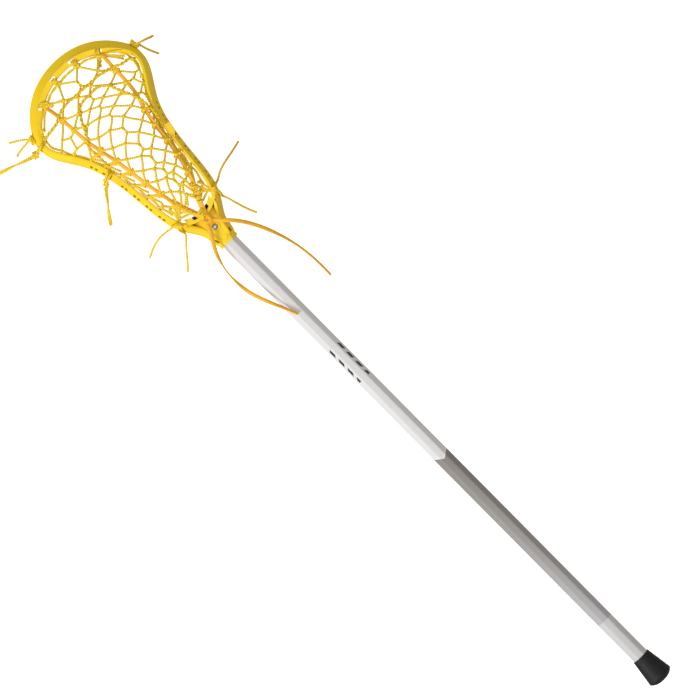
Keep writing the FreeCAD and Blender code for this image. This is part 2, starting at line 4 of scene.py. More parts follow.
import bpy
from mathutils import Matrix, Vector


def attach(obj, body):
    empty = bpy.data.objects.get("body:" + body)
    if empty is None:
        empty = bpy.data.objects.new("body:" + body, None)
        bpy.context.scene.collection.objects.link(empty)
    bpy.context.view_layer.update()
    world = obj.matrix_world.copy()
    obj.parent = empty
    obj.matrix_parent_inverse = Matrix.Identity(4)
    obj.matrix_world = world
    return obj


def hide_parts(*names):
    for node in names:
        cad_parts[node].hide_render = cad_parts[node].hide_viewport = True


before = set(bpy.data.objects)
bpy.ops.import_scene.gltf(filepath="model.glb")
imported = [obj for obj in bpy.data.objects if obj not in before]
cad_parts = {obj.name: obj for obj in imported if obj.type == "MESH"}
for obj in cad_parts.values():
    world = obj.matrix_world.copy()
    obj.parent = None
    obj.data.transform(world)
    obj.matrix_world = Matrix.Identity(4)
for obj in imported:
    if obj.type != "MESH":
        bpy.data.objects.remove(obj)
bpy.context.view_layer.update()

# A women's lacrosse stick, lying face down, looked at from straight above.
# Sizes in the tables are millimetres, as in the CAD; MM turns them to metres.
MM = 0.001
random.seed(7)

# ------------------------------------------------------------------ camera and stage

VIEW_WIDTH = 0.875  # metres across the picture at the stick's height
CAMERA_HEIGHT = 5.0
STICK_HEIGHT = 0.02  # the level at which VIEW_WIDTH holds
SENSOR = 36.0
AIM = Vector((0.02575, -0.0114, 0.0))
CAMERA_TURN = math.radians(225.26)  # the scoop points to the upper left corner


def make_camera():
    bpy.ops.object.camera_add(location=AIM + Vector((0, 0, CAMERA_HEIGHT)), rotation=(0, 0, CAMERA_TURN))
    camera = bpy.context.object
    camera.name = "camera"
    camera.data.sensor_width = SENSOR
    camera.data.lens = SENSOR * (CAMERA_HEIGHT - STICK_HEIGHT) / VIEW_WIDTH
    camera.data.clip_end = 50
    bpy.context.scene.camera = camera


def make_light(name, location, width, watts, colour):
    bpy.ops.object.light_add(type="AREA", location=location)
    lamp = bpy.context.object
    lamp.name = name
    lamp.data.shape = "DISK"
    lamp.data.size = width
    lamp.data.energy = watts
    lamp.data.color = colour
    lamp.rotation_euler = (AIM - Vector(location)).to_track_quat("-Z", "Y").to_euler()


# ------------------------------------------------------------------ materials


def srgb(code):
    """Hex colour to linear red, green, blue and alpha."""
    channels = [int(code[i:i + 2], 16) / 255 for i in (1, 3, 5)]
    linear = [c / 12.92 if c <= 0.04045 else ((c + 0.055) / 1.055) ** 2.4 for c in channels]
    return (*linear, 1.0)


def add_node(material, kind, settings=None, stops=(), **links):
    """Adds one shader node, with its properties, its ramp's colours by place, and its inputs.

    An input is named, or is i and its number, and takes a value or another node's output.
    """
    node = material.node_tree.nodes.new(kind)
    for key, setting in (settings or {}).items():
        setattr(node, key, setting)
    for index, (position, code) in enumerate(stops):
        elements = node.color_ramp.elements
        element = elements[index] if index < 2 else elements.new(position)
        element.position = position
        element.color = srgb(code)
    for key, source in links.items():
        by_number = key[0] == "i" and key[1:].isdigit()
        socket = node.inputs[int(key[1:]) if by_number else key.replace("_", " ")]
        if isinstance(source, bpy.types.NodeSocket):
            material.node_tree.links.new(source, socket)
        else:
            socket.default_value = source
    return node


def new_material(name, **constants):
    """A material, its shader, and the object coordinates that its patterns follow."""
    material = bpy.data.materials.new(name)
    material.use_nodes = True
    shader = material.node_tree.nodes["Principled BSDF"]
    for key, setting in constants.items():
        shader.inputs[key.replace("_", " ")].default_value = setting
    return material, shader, add_node(material, "ShaderNodeTexCoord").outputs["Object"]


def finish_material(material, shader, colour, relief=None):
    material.node_tree.links.new(colour, shader.inputs["Base Color"])
    if relief:
        material.node_tree.links.new(relief.outputs["Normal"], shader.inputs["Normal"])
    return material


# A pattern's scale is 1 over the size of its features, in metres.


def moulded_nylon():
    """Injection moulded, dyed nylon: satin gloss, faint flow mottling, a fine grain, and painted shade that turns its
    holes and corners amber.
    """
    material, shader, place = new_material("moulded_nylon", Roughness=0.42, IOR=1.53, Specular_IOR_Level=0.3)
    flow = add_node(material, "ShaderNodeTexNoise", Vector=place, Scale=1 / (22 * MM), Detail=3.0)
    mottle = add_node(material, "ShaderNodeValToRGB", stops=((0.3, "#FFD612"), (0.7, "#FFDE1E")),
                      i0=flow.outputs[0])
    # Painted shade: holes and corners narrower than 6 mm are darkened to amber, more so the more enclosed they are.
    openness = add_node(material, "ShaderNodeAmbientOcclusion", {"samples": 8}, Distance=6 * MM)
    painted_shade = add_node(material, "ShaderNodeMapRange", i0=openness.outputs["AO"], i1=0.25, i2=0.7, i3=1.0,
                     i4=0.0)
    tint = add_node(material, "ShaderNodeMix", {"data_type": "RGBA"}, i0=painted_shade.outputs[0],
                    i6=mottle.outputs["Color"], i7=srgb("#C8860F"))
    grain = add_node(material, "ShaderNodeTexNoise", Vector=place, Scale=1 / (0.9 * MM), Detail=2.0)
    relief = add_node(material, "ShaderNodeBump", i0=0.12, i1=0.4 * MM, Height=grain.outputs[0])
    return finish_material(material, shader, tint.outputs[2], relief)


def braided_nylon(name, crest, valley):
    """Braided nylon lace, with painted shade: darker in the grooves between the strands, bright on their crests."""
    material, shader, place = new_material(name, Roughness=0.6, IOR=1.53, Specular_IOR_Level=0.25)
    # Painted shade: the valley colour goes into the grooves between the strands, the crest colour onto the strands.
    painted_shade = add_node(material, "ShaderNodeAttribute", {"attribute_name": "painted_groove_shade"})
    tint = add_node(material, "ShaderNodeValToRGB", stops=((0.05, valley), (0.5, crest)),
                    i0=painted_shade.outputs["Fac"])
    # Yarn filaments are about 0.35 mm across, and are drawn twice as coarse so that they show.
    yarn = add_node(material, "ShaderNodeTexNoise", Vector=place, Scale=1 / (0.7 * MM), Detail=2.0)
    relief = add_node(material, "ShaderNodeBump", i0=0.35, i1=0.3 * MM, Height=yarn.outputs[0])
    return finish_material(material, shader, tint.outputs["Color"], relief)


def dyed_leather():
    """Chrome-tanned leather thong, drum dyed: soft satin, uneven dye and pores."""
    material, shader, place = new_material("dyed_leather", Roughness=0.55, IOR=1.5, Specular_IOR_Level=0.25)
    dye = add_node(material, "ShaderNodeTexNoise", Vector=place, Scale=1 / (7 * MM), Detail=3.0)
    tint = add_node(material, "ShaderNodeValToRGB", stops=((0.3, "#FFB62C"), (0.7, "#FFC73E")),
                    i0=dye.outputs[0])
    pores = add_node(material, "ShaderNodeTexVoronoi", Vector=place, Scale=1 / (0.91 * MM))
    relief = add_node(material, "ShaderNodeBump", i0=0.25, i1=0.3 * MM, Height=pores.outputs[0])
    return finish_material(material, shader, tint.outputs["Color"], relief)


def slanted_dashes(material, along, offset):
    """1 inside the plain slanted dashes printed on the two upper sloping flats."""
    lean = add_node(material, "ShaderNodeMath", {"operation": "MULTIPLY_ADD"}, i0=offset, i1=1.4, i2=along)
    # One dash every 16 mm, each 10 mm long, in a row 2.6 mm wide and 56 mm long.
    turn = add_node(material, "ShaderNodeMath", {"operation": "PINGPONG"}, i0=lean.outputs[0], i1=8 * MM)
    dash = add_node(material, "ShaderNodeMath", {"operation": "LESS_THAN"}, i0=turn.outputs[0], i1=5 * MM)
    row = add_node(material, "ShaderNodeMath", {"operation": "COMPARE"}, i0=offset, i1=7.5 * MM, i2=1.3 * MM)
    reach = add_node(material, "ShaderNodeMath", {"operation": "COMPARE"}, i0=along, i1=16 * MM, i2=28 * MM)
    inside = add_node(material, "ShaderNodeMath", {"operation": "MULTIPLY"}, i0=dash.outputs[0],
                      i1=row.outputs[0])
    return add_node(material, "ShaderNodeMath", {"operation": "MULTIPLY"}, i0=inside.outputs[0],
                    i1=reach.outputs[0])


def shaft_enamel():
    """Sprayed enamel on an aluminium tube: white to a chevron, then graphite fading to pale grey."""
    material, shader, place = new_material("shaft_enamel", Roughness=0.5, IOR=1.5, Specular_IOR_Level=0.35)
    axes = add_node(material, "ShaderNodeSeparateXYZ", i0=place)
    along = axes.outputs["X"]
    offset = add_node(material, "ShaderNodeMath", {"operation": "ABSOLUTE"}, i0=axes.outputs["Y"]).outputs[0]
    lean = add_node(material, "ShaderNodeMath", {"operation": "MULTIPLY_ADD"}, i0=offset, i1=-0.7,
                    i2=along).outputs[0]
    # The chevron's point is 153.5 mm towards the butt from the middle of the stick, with a pale line along its edge.
    beyond = add_node(material, "ShaderNodeMath", {"operation": "LESS_THAN"}, i0=lean, i1=-153.5 * MM)
    edge = add_node(material, "ShaderNodeMath", {"operation": "COMPARE"}, i0=lean, i1=-152.8 * MM,
                    i2=0.7 * MM)
    # Graphite fades to pale grey between 154 and 436 mm from the middle, and the last stretch is one pale grey.
    fade = add_node(material, "ShaderNodeMapRange", i0=along, i1=-154 * MM, i2=-436 * MM, i3=0.0, i4=1.0)
    graphite = add_node(material, "ShaderNodeValToRGB", i0=fade.outputs[0],
                        stops=((0.0, "#8C8884"), (1.0, "#B6B6B8"), (0.5, "#9D9B99")))
    butt = add_node(material, "ShaderNodeMath", {"operation": "LESS_THAN"}, i0=along, i1=-438.2 * MM)
    dashes = slanted_dashes(material, along, offset)
    rgba = {"data_type": "RGBA"}
    paint = add_node(material, "ShaderNodeMix", rgba, i0=butt.outputs[0], i6=graphite.outputs["Color"],
                     i7=srgb("#CCCCCD"))
    paint = add_node(material, "ShaderNodeMix", rgba, i0=beyond.outputs[0], i6=srgb("#DDDDDE"),
                     i7=paint.outputs[2])
    paint = add_node(material, "ShaderNodeMix", rgba, i0=edge.outputs[0], i6=paint.outputs[2],
                     i7=srgb("#ECECEC"))
    paint = add_node(material, "ShaderNodeMix", rgba, i0=dashes.outputs[0], i6=paint.outputs[2],
                     i7=srgb("#2A2A2B"))
    spray = add_node(material, "ShaderNodeTexNoise", Vector=place, Scale=1 / (1.2 * MM), Detail=2.0)
    relief = add_node(material, "ShaderNodeBump", i0=0.04, i1=0.3 * MM, Height=spray.outputs[0])
    return finish_material(material, shader, paint.outputs[2], relief)


def moulded_rubber():
    """Compression moulded black rubber: matt, with a fine grain."""
    material, shader, place = new_material("moulded_rubber", Roughness=0.62, IOR=1.52, Specular_IOR_Level=0.3)
    wear = add_node(material, "ShaderNodeTexNoise", Vector=place, Scale=1 / (9 * MM), Detail=3.0)
    tint = add_node(material, "ShaderNodeValToRGB", stops=((0.3, "#121213"), (0.7, "#1D1D1E")),
                    i0=wear.outputs[0])
    grain = add_node(material, "ShaderNodeTexNoise", Vector=place, Scale=1 / (0.8 * MM), Detail=2.0)
    relief = add_node(material, "ShaderNodeBump", i0=0.3, i1=0.4 * MM, Height=grain.outputs[0])
    return finish_material(material, shader, tint.outputs["Color"], relief)


def zinc_steel():
    """Bright zinc-plated steel, turned and lightly scuffed."""
    material, shader, place = new_material("zinc_plated_steel", Metallic=1.0, Roughness=0.3)
    scuffs = add_node(material, "ShaderNodeTexNoise", Vector=place, Scale=1 / (1.5 * MM), Detail=3.0)
    tint = add_node(material, "ShaderNodeValToRGB", stops=((0.3, "#8E9097"), (0.7, "#C9CBD0")),
                    i0=scuffs.outputs[0])
    return finish_material(material, shader, tint.outputs["Color"])


def cell_foam():
    """Closed-cell black foam: dull, with open cut cells about a millimetre across, and painted shade in their hollows.
    """
    material, shader, place = new_material("closed_cell_foam", Roughness=0.9)
    cells = add_node(material, "ShaderNodeTexVoronoi", Vector=place, Scale=1 / (1.11 * MM))
    # Painted shade: each cut cell is darker towards its sunken middle.
    tint = add_node(material, "ShaderNodeValToRGB", stops=((0.0, "#101011"), (0.8, "#2B2B2D")),
                    i0=cells.outputs[0])
    relief = add_node(material, "ShaderNodeBump", i0=0.5, i1=0.6 * MM, Height=cells.outputs[0])
    return finish_material(material, shader, tint.outputs["Color"], relief)


def studio_floor():
    material, shader, place = new_material("studio_floor", Roughness=0.9, Emission_Color=srgb("#FFFFFF"),
                                           Emission_Strength=0.85)
    cloud = add_node(material, "ShaderNodeTexNoise", Vector=place, Scale=1 / (400 * MM), Detail=3.0)
    tint = add_node(material, "ShaderNodeValToRGB", stops=((0.3, "#FBFBFB"), (0.7, "#FFFFFF")),
                    i0=cloud.outputs[0])
    return finish_material(material, shader, tint.outputs["Color"])


# ------------------------------------------------------------------ shape of the head

POCKET_OUTLINE = [
    (279, 17), (297, 28), (317, 32.5), (338, 34.8), (370, 38.6), (398, 44.5), (428, 56.5),
    (452, 70), (476, 77), (496, 66), (510, 50), (520, 26),
]
LEFT_THONG = [
    (266, 1.5), (272, 3.4), (281, 6.5), (302, 14), (328, 19), (349, 23), (370, 26), (392, 29),
    (418, 34.5), (441, 38.5), (466, 40.5), (494, 43), (511, 46.5),
]
RIGHT_THONG = [
    (266, 1.5), (272, 3.4), (281, 6.5), (296, 13), (310, 19), (328, 25), (349, 30), (372, 34),
    (395, 36.5), (420, 41.5), (440, 47), (458, 49), (490, 50), (511, 51),
]
THONGS = {1: LEFT_THONG, -1: RIGHT_THONG}
TIP = 543
RAIL, SCOOP, PLATE = 42, 24, 31.8  # heights of the back rail, of the scoop and of the back plate
SCOOP_SLOPE_START = 430
PLATE_END, RAIL_START = 240, 292  # the rail rises from the back plate between these
POCKET_START, POCKET_END = 274, 522
CROWN = 17  # how far the pocket stands above the rails
POCKET_DROP = 1.5  # how far below the rail top its edge is tied
STOP_TOP = 38.5
LACE = 3.2  # diameter
LACE_PITCH = 5.2  # length of one turn of its twist


def ease(start, end, x):
    part = min(max((x - start) / (end - start), 0), 1)
    return part * part * (3 - 2 * part)


def smooth_along(table, x):
    """Value of a table of (x, value) at x, on a smooth curve through its rows."""
    if x <= table[0][0]:
        return table[0][1]
    for index in range(len(table) - 1):
        (x1, v1), (x2, v2) = table[index], table[index + 1]
        if x <= x2:
            x0, v0 = table[max(index - 1, 0)]
            x3, v3 = table[min(index + 2, len(table) - 1)]
            part = (x - x1) / (x2 - x1)
            slope1 = (v2 - v0) / (x2 - x0) * (x2 - x1)
            slope2 = (v3 - v1) / (x3 - x1) * (x2 - x1)
            square, cube = part * part, part ** 3
            return (v1 * (2 * cube - 3 * square + 1) + slope1 * (cube - 2 * square + part)
                    + v2 * (3 * square - 2 * cube) + slope2 * (cube - square))
    return table[-1][1]


def rail_top(x):
    scoop_drop = (RAIL - SCOOP) * ease(SCOOP_SLOPE_START, TIP, x)
    return RAIL - scoop_drop - (RAIL - PLATE + 1) * (1 - ease(PLATE_END, RAIL_START, x))


def pocket_top(x, y):
    """Height of the laced pocket above a point of the plan."""
    across = min(abs(y) / max(smooth_along(POCKET_OUTLINE, x), 1), 1)
    lengthways = min(max((x - POCKET_START) / (POCKET_END - POCKET_START), 0), 1)
    return rail_top(x) - POCKET_DROP + CROWN * math.sin(math.pi * lengthways) * (1 - across * across)


def thong_y(side, x):
    return side * smooth_along(THONGS[side], x)


def rail_y(side, x):
    return side * smooth_along(POCKET_OUTLINE, x)


def on_pocket(x, y, lift=0.0):
    return Vector((x, y, pocket_top(x, y) + lift))


# ------------------------------------------------------------------ swept laces and ribbons


def resample(points, step):
    """Points about step apart along a line of points, ends kept."""
    lengths = [0.0]
    for first, second in zip(points, points[1:]):
        lengths.append(lengths[-1] + (second - first).length)
    count = max(2, round(lengths[-1] / step) + 1)
    result = []
    index = 0
    for number in range(count):
        target = lengths[-1] * number / (count - 1)
        while index < len(points) - 2 and lengths[index + 1] < target:
            index += 1
        span = lengths[index + 1] - lengths[index]
        part = 0 if span == 0 else (target - lengths[index]) / span
        result.append(points[index].lerp(points[index + 1], part))
    return result


def curve_through(points, step=1.0):
    """Smooth line through points (Catmull-Rom), as points about step apart."""
    points = [Vector(p) for p in points]
    if len(points) == 2:
        return resample(points, step)
    padded = [points[0] * 2 - points[1], *points, points[-1] * 2 - points[-2]]
    fine = []
    for a, b, c, d in zip(padded, padded[1:], padded[2:], padded[3:]):
        for number in range(8):
            u = number / 8
            fine.append(0.5 * ((2 * b) + (c - a) * u + (2 * a - 5 * b + 4 * c - d) * u ** 2
                               + (3 * b - a - 3 * c + d) * u ** 3))
    fine.append(points[-1])
    return resample(fine, step)


def carried_frames(path):
    """A side and an up direction at each point of a path, carried along without twisting."""
    up = Vector((0, 0, 1))
    frames = []
    for index, point in enumerate(path):
        ahead = path[min(index + 1, len(path) - 1)]
        behind = path[max(index - 1, 0)]
        tangent = (ahead - behind).normalized()
        up = up - tangent * up.dot(tangent)
        if up.length < 1e-4:
            up = tangent.orthogonal()
        up.normalize()
        frames.append((point, tangent.cross(up), up.copy()))
    return frames


class Weave:
    """Collects swept pieces in millimetres and makes them one mesh, with a value at each point that paints shade into
    the grooves of a lace.
    """

    def __init__(self):
        self.vertices, self.faces, self.painted_groove_shade = [], [], []

    def sweep(self, path, ring_at):
        """ring_at(index, length so far) gives (across, up, shade value) for each point of the section there; the shade
        value is 1 on a crest and 0 deep in a groove.
        """
        travelled = 0.0
        start = len(self.vertices)
        frames = carried_frames(path)
        sides = 0
        for index, (point, side, over) in enumerate(frames):
            if index:
                travelled += (point - path[index - 1]).length
            ring = ring_at(index, travelled)
            sides = len(ring)
            for across, high, painted_shade in ring:
                self.vertices.append((point + side * across + over * high) * MM)
                self.painted_groove_shade.append(painted_shade)
        for index in range(len(frames) - 1):
            base = start + index * sides
            for corner in range(sides):
                following = (corner + 1) % sides
                self.faces.append((base + corner, base + corner + sides,
                                   base + following + sides, base + following))
        last = start + (len(frames) - 1) * sides
        self.faces.append(tuple(start + corner for corner in range(sides)))
        self.faces.append(tuple(last + corner for corner in reversed(range(sides))))

    def lace(self, path, diameter=LACE, sides=8):
        """Twisted lace: a two-lobed section that turns once every LACE_PITCH, with its ends drawn in."""
        radius = diameter / 2
        phase = random.uniform(0, 6.28)
        count = len(path)

        def ring_at(index, travelled):
            turn = phase + travelled / LACE_PITCH * 2 * math.pi
            fit = 0.55 if index in (0, count - 1) else 1.0
            ring = []
            for corner in range(sides):
                angle = 2 * math.pi * corner / sides
                lobe = math.cos(2 * (angle - turn))
                reach = radius * fit * (0.9 + 0.2 * lobe)
                # The third value is 1 on the lobes and 0 between them, where the lace material paints shade.
                ring.append((reach * math.cos(angle), reach * math.sin(angle), 0.5 + 0.5 * lobe))
            return ring

        self.sweep(path, ring_at)

    def ribbon(self, path, width, thickness, lean=None):
        """Flat strap with rounded edges; lean(part of the way) turns it about its line, in radians."""
        half, deep = width / 2, thickness / 2
        edge = deep * 0.55
        corners = [(half, edge - deep), (half, deep - edge), (half - edge, deep), (0, deep * 1.06),
                   (edge - half, deep), (-half, deep - edge), (-half, edge - deep), (edge - half, -deep),
                   (0, -deep * 1.06), (half - edge, -deep)]
        count = len(path)

        def ring_at(index, travelled):
            angle = lean(index / (count - 1)) if lean else 0.0
            fit = 0.8 if index in (0, count - 1) else 1.0
            turn_cos, turn_sin = math.cos(angle), math.sin(angle)
            return [(fit * (a * turn_cos - b * turn_sin), fit * (a * turn_sin + b * turn_cos), 1.0)
                    for a, b in corners]

        self.sweep(path, ring_at)

    def coil(self, centre, axis, radii, length, turns, diameter=LACE, start=0.0):
        """Lace wound round an axis: a wrap or a knot."""
        axis = axis.normalized()
        side = axis.cross(Vector((0, 0, 1)))
        side = side.normalized() if side.length > 1e-3 else axis.orthogonal().normalized()
        over = side.cross(axis).normalized()
        steps = max(8, int(turns * 12))
        path = []
        for number in range(steps + 1):
            part = number / steps
            angle = start + 2 * math.pi * turns * part
            path.append(centre + axis * length * (part - 0.5)
                        + side * radii[0] * math.cos(angle) + over * radii[1] * math.sin(angle))
        self.lace(path, diameter, sides=6)

    def knot(self, centre, axis, size=1.0):
        """Small tight knot: a coil round the line with a turn across it."""
        self.coil(centre, axis, (1.3 * size, 1.2 * size), 2.2 * size, 2.2, LACE * 0.9 * size,
                  start=random.uniform(0, 6.28))

    def piece(self, name, material, *nodes):
        mesh = bpy.data.meshes.new(name)
        mesh.from_pydata(self.vertices, [], self.faces)
        painted_groove_shade = mesh.attributes.new("painted_groove_shade", "FLOAT", "POINT")
        painted_groove_shade.data.foreach_set("value", self.painted_groove_shade)
        obj = bpy.data.objects.new(name, mesh)
        bpy.context.collection.objects.link(obj)
        return finish_piece(obj, material, *nodes)


def select_only(obj):
    bpy.ops.object.select_all(action="DESELECT")
    obj.select_set(True)
    bpy.context.view_layer.objects.active = obj


def finish_piece(obj, material, *nodes):
    select_only(obj)
    bpy.ops.object.mode_set(mode="EDIT")
    bpy.ops.mesh.select_all(action="SELECT")
    bpy.ops.mesh.normals_make_consistent(inside=False)
    bpy.ops.object.mode_set(mode="OBJECT")
    bpy.ops.object.shade_smooth_by_angle(angle=math.radians(50))
    obj.data.materials.clear()
    obj.data.materials.append(material)
    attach(obj, "root")
    if nodes:
        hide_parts(*nodes)
    return obj


def refined_copy(node, name, material, angle=38):
    """Copy of a CAD node with its triangles joined and its curved faces smooth."""
    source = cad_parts[node]
    obj = source.copy()
    obj.data = source.data.copy()
    obj.name = name
    bpy.context.collection.objects.link(obj)
    select_only(obj)
    bpy.ops.object.mode_set(mode="EDIT")
    bpy.ops.mesh.select_all(action="SELECT")
    bpy.ops.mesh.remove_doubles(threshold=0.00002)
    bpy.ops.mesh.customdata_custom_splitnormals_clear()
    bpy.ops.object.mode_set(mode="OBJECT")
    bpy.ops.object.shade_smooth_by_angle(angle=math.radians(angle))
    obj.data.materials.clear()
    obj.data.materials.append(material)
    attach(obj, "root")
    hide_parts(node)
    return obj


# ------------------------------------------------------------------ free ends


def nurbs_line(route):
    """The route's smooth line, in millimetres: a NURBS spline with its points as control points."""
    data = bpy.data.curves.new("route", "CURVE")
    data.dimensions = "3D"
    data.resolution_u = 10
    spline = data.splines.new("NURBS")
    spline.points.add(len(route) - 1)
    for point, place in zip(spline.points, route):
        point.co = (*place, 1.0)
    spline.order_u = 3
    spline.use_endpoint_u = True
    holder = bpy.data.objects.new("route", data)
    mesh = bpy.data.meshes.new_from_object(holder)
    line = [vertex.co.copy() for vertex in mesh.vertices]
    bpy.data.objects.remove(holder)
    bpy.data.meshes.remove(mesh)
    return line


def line_length(path):
    return sum((second - first).length for first, second in zip(path, path[1:]))


THONG_TAILS = (
    ("left_thong_tail", 0.170, [
        (262, 3.5, 38), (251, 9, 39.5), (241, 15.5, 39), (228, 22.5, 36.5), (214, 27, 34),
        (199, 29.6, 33), (184, 29.6, 32.6), (168, 28, 32.3), (151, 23, 32), (134, 16, 31.6),
        (118, 9, 31.2), (103, 3, 31),
    ], lambda part: (0.25 + 1.25 * ease(0.18, 0.36, part) * (1 - ease(0.40, 0.62, part))
                     + 0.9 * ease(0.70, 0.95, part))),
    ("right_thong_tail", 0.176, [
        (262, -4.5, 38), (252, -13, 39.2), (243, -22, 37), (230, -32, 29), (216, -40, 20),
        (200, -47, 11.5), (183, -53, 5.7), (164, -57.6, 3.4), (146, -60, 2.8), (127, -61, 2.7),
        (109, -60.6, 2.7),
    ], lambda part: 0.15 + 0.8 * ease(0.35, 0.7, part)),
)
LACE_TAILS = (
    ("left_throat_tail_a", 0.052, [
        (291, 43.5, 27), (292.2, 51, 27.6), (292.4, 58.5, 26), (291.6, 66, 22), (289.6, 73.5, 15.5),
        (287, 80, 8), (284.6, 85.5, 2.5),
    ]),
    ("left_throat_tail_b", 0.053, [
        (272.5, 32.5, 24), (267, 38, 24), (260.5, 44, 22), (253.5, 50, 18), (247, 55.6, 12.5),
        (242, 60.5, 6.5), (238.4, 64.4, 2),
    ]),
    ("right_throat_tail_a", 0.063, [
        (292.5, -43.5, 27), (296.5, -49.5, 27.8), (300, -57, 27), (302.6, -65, 24), (304.4, -73.5, 19),
        (306.4, -82, 12.5), (308.6, -90, 6), (310.4, -96.4, 2),
    ]),
    ("right_throat_tail_b", 0.053, [
        (274.5, -34, 24), (268.5, -36.6, 24), (261, -38.6, 21.6), (253, -41, 17), (245, -43.6, 11.4),
        (237, -46.8, 6), (230.4, -50, 2),
    ]),
    ("left_corner_tail_a", 0.032, [
        (497.4, 91, 22), (501, 96, 21.4), (504.4, 100.4, 17.4), (506.6, 103.6, 11), (508.6, 106.6, 4),
        (511.4, 110, 1.6),
    ]),
    ("left_corner_tail_b", 0.031, [
        (494, 91, 20), (493.4, 98, 19.6), (493, 104.6, 16.4), (492.6, 110, 10.6), (492.2, 114, 3.6),
    ]),
    ("right_corner_tail_a", 0.033, [
        (484.6, -92, 26), (482.8, -97.6, 25.6), (481.6, -102.6, 21.6), (480.8, -106.6, 15.4),
        (480.2, -109.8, 8.4), (479.8, -113.4, 2.6),
    ]),
    ("right_corner_tail_b", 0.032, [
        (482, -93.4, 20), (476.6, -94.6, 19.6), (471, -96.6, 16.6), (466, -99, 11), (461.6, -101.4, 4.6),
        (458.4, -103, 1.9),
    ]),
)
SIDE_NAMES = {1: "left", -1: "right"}
TAIL_STARTS = {name: Vector(route[0]) for name, _, route in LACE_TAILS}
PAIR_TAILS = (
    ("left_wall_tail", 0.056, [
        (384, 62.4, 29), (377, 68, 28), (370, 73.5, 25.6), (363, 79.5, 20.8), (356.6, 84.8, 14),
        (351, 89, 7), (347.6, 91.6, 2.2),
    ]),
    ("left_shooting_tail", 0.068, [
        (475.4, 101.6, 30), (478, 110, 30), (481.6, 118.6, 28), (485, 127, 24), (488, 135, 18.6),
        (491, 143, 12), (494, 150.6, 6), (497, 158, 2.4),
    ]),
)


def make_tails(lace_material, thong_material, knots):
    """knots holds the knot outside the rim that a tail leaves from, by the tail's name; it is not used."""
    for name, length, route, lean in THONG_TAILS:
        line = nurbs_line(route)
        weave = Weave()
        weave.ribbon(resample(line, 1.5), 5.2, 1.8, lean)
        tail = weave.piece(name + "_strap", thong_material, name)
    for name, length, route in LACE_TAILS:
        line = nurbs_line(route)
        weave = Weave()
        path = resample(line, 0.8)
        weave.lace(path)
        # The cut end is melted to a small bead.
        weave.knot(path[-1] - (path[-1] - path[-2]).normalized() * 1.2, path[-1] - path[-3], 0.62)
        tail = weave.piece(name + "_lace", lace_material, name)
    for name, length, route in PAIR_TAILS:
        line = nurbs_line(route)
        weave = Weave()
        twisted_pair(weave, resample(line, 0.8), 1.15, 90, 3.0, fan=0.1)
        tail = weave.piece(name + "_lace", lace_material, name)


def twisted_pair(weave, path, spread=1.1, pitch=15.0, diameter=2.2, fan=0.0):
    """Two laces laid round each other; fan holds them further apart at the start."""
    whole = line_length(path)
    base = spread
    for turn in (0.0, math.pi):
        strand = []
        travelled = 0.0
        for index, (point, side, over) in enumerate(carried_frames(path)):
            if index:
                travelled += (point - path[index - 1]).length
            angle = turn + travelled / pitch * 2 * math.pi
            spread = base + fan * (1 - ease(0.05, 0.55, travelled / whole))
            strand.append(point + side * spread * math.cos(angle) + over * spread * 0.7 * math.sin(angle))
        weave.lace(strand, diameter)


# ------------------------------------------------------------------ pocket

# Places of the knots, measured along and across the stick. The rows run from the scoop to the throat.
HITCHES = {
    1: [480.5, 461, 441, 420, 397, 374.5, 351, 329, 303],
    -1: [477.5, 457.5, 438, 418, 395.5, 371.5, 350, 325.5, 299],
}
OUTER_KNOTS = {
    1: [(497.5, 23), (472.5, 21.5), (453.5, 24.5), (432.5, 25.5), (411, 22), (389, 19), (364.5, 15),
        (343.5, 11.5),
        (322.5, 8.5)],
    -1: [(494, -33), (470, -32), (453, -32), (432.5, -32.5), (410.5, -29), (386.5, -26), (363, -23),
         (341.5, -19),
         (319.5, -14.5)],
}
INNER_KNOTS = {
    1: [(487, 7.5), (465.5, 7.5), (449.5, 7), (429, 8), (404, 6), (379, 3), (356.5, 2), (338.5, 0),
        (314.5, 0)],
    -1: [(486.5, -13.5), (465, -14), (447.5, -16.5), (429.5, -15.5), (402.5, -15.5), (377.5, -12.5),
         (354, -11.5),
         (338, -11), (320, -9)],
}
MIDDLE_TOP = [(496, -5), (471, -4), (456.5, -3), (439.5, -5.5), (412, -5), (382.5, -4.5), (360, -3.5),
              (340, -4),
              (319, -5)]
MIDDLE_FOOT = [(479, -3.5), (460.5, -3.5), (443.5, -4.5), (420.5, -5), (392, -5.5), (370.5, -5), (348.5, -5),
               (330, -5), (309.5, -1.5)]
SLOTS = [(515, 48.5, 0.82), (526, 15, 0.12), (525.5, -19.5, -0.12),
         (514, -51, -0.62)]  # middle, and how far it leans


def wander(amount):
    return random.uniform(-amount, amount)


def lace_run(weave, first, second, bow=0.5, diameter=LACE):
    """One run of lace between two knots, lying on the pocket with a slight bow."""
    middle = (first + second) / 2
    middle.z = max(middle.z, (pocket_top(middle.x, middle.y) + middle.z) / 2)
    middle += Vector((wander(bow), wander(bow), wander(bow * 0.5)))
    weave.lace(curve_through([first, middle, second], 0.9), diameter)


def doubled_run(weave, first, second):
    """Two laces side by side, crossed once, between two knots."""
    path = resample([first, (first + second) / 2, second], 0.9)
    twisted_pair(weave, path, 1.1, (second - first).length * 2, LACE * 0.85)


def hitch_place(side, row, shift=0.0):
    x = HITCHES[side][row] + shift
    return on_pocket(x, thong_y(side, x))


def on_plan(place, lift=0.0):
    return on_pocket(*place, lift)


def slot_frame(number):
    """Middle of a lashing slot, the way in towards the pocket, and the way along the scoop."""
    x, y, lean = SLOTS[number]
    inward = Vector((-math.cos(lean), -math.sin(lean), 0))
    middle = Vector((x, y, rail_top(x + 10) + 0.2))
    return middle, inward, Vector((-inward.y, inward.x, 0))


def slot_knot(number):
    middle, inward, _ = slot_frame(number)
    return middle + inward * 8.6 + Vector((0, 0, 0.4))


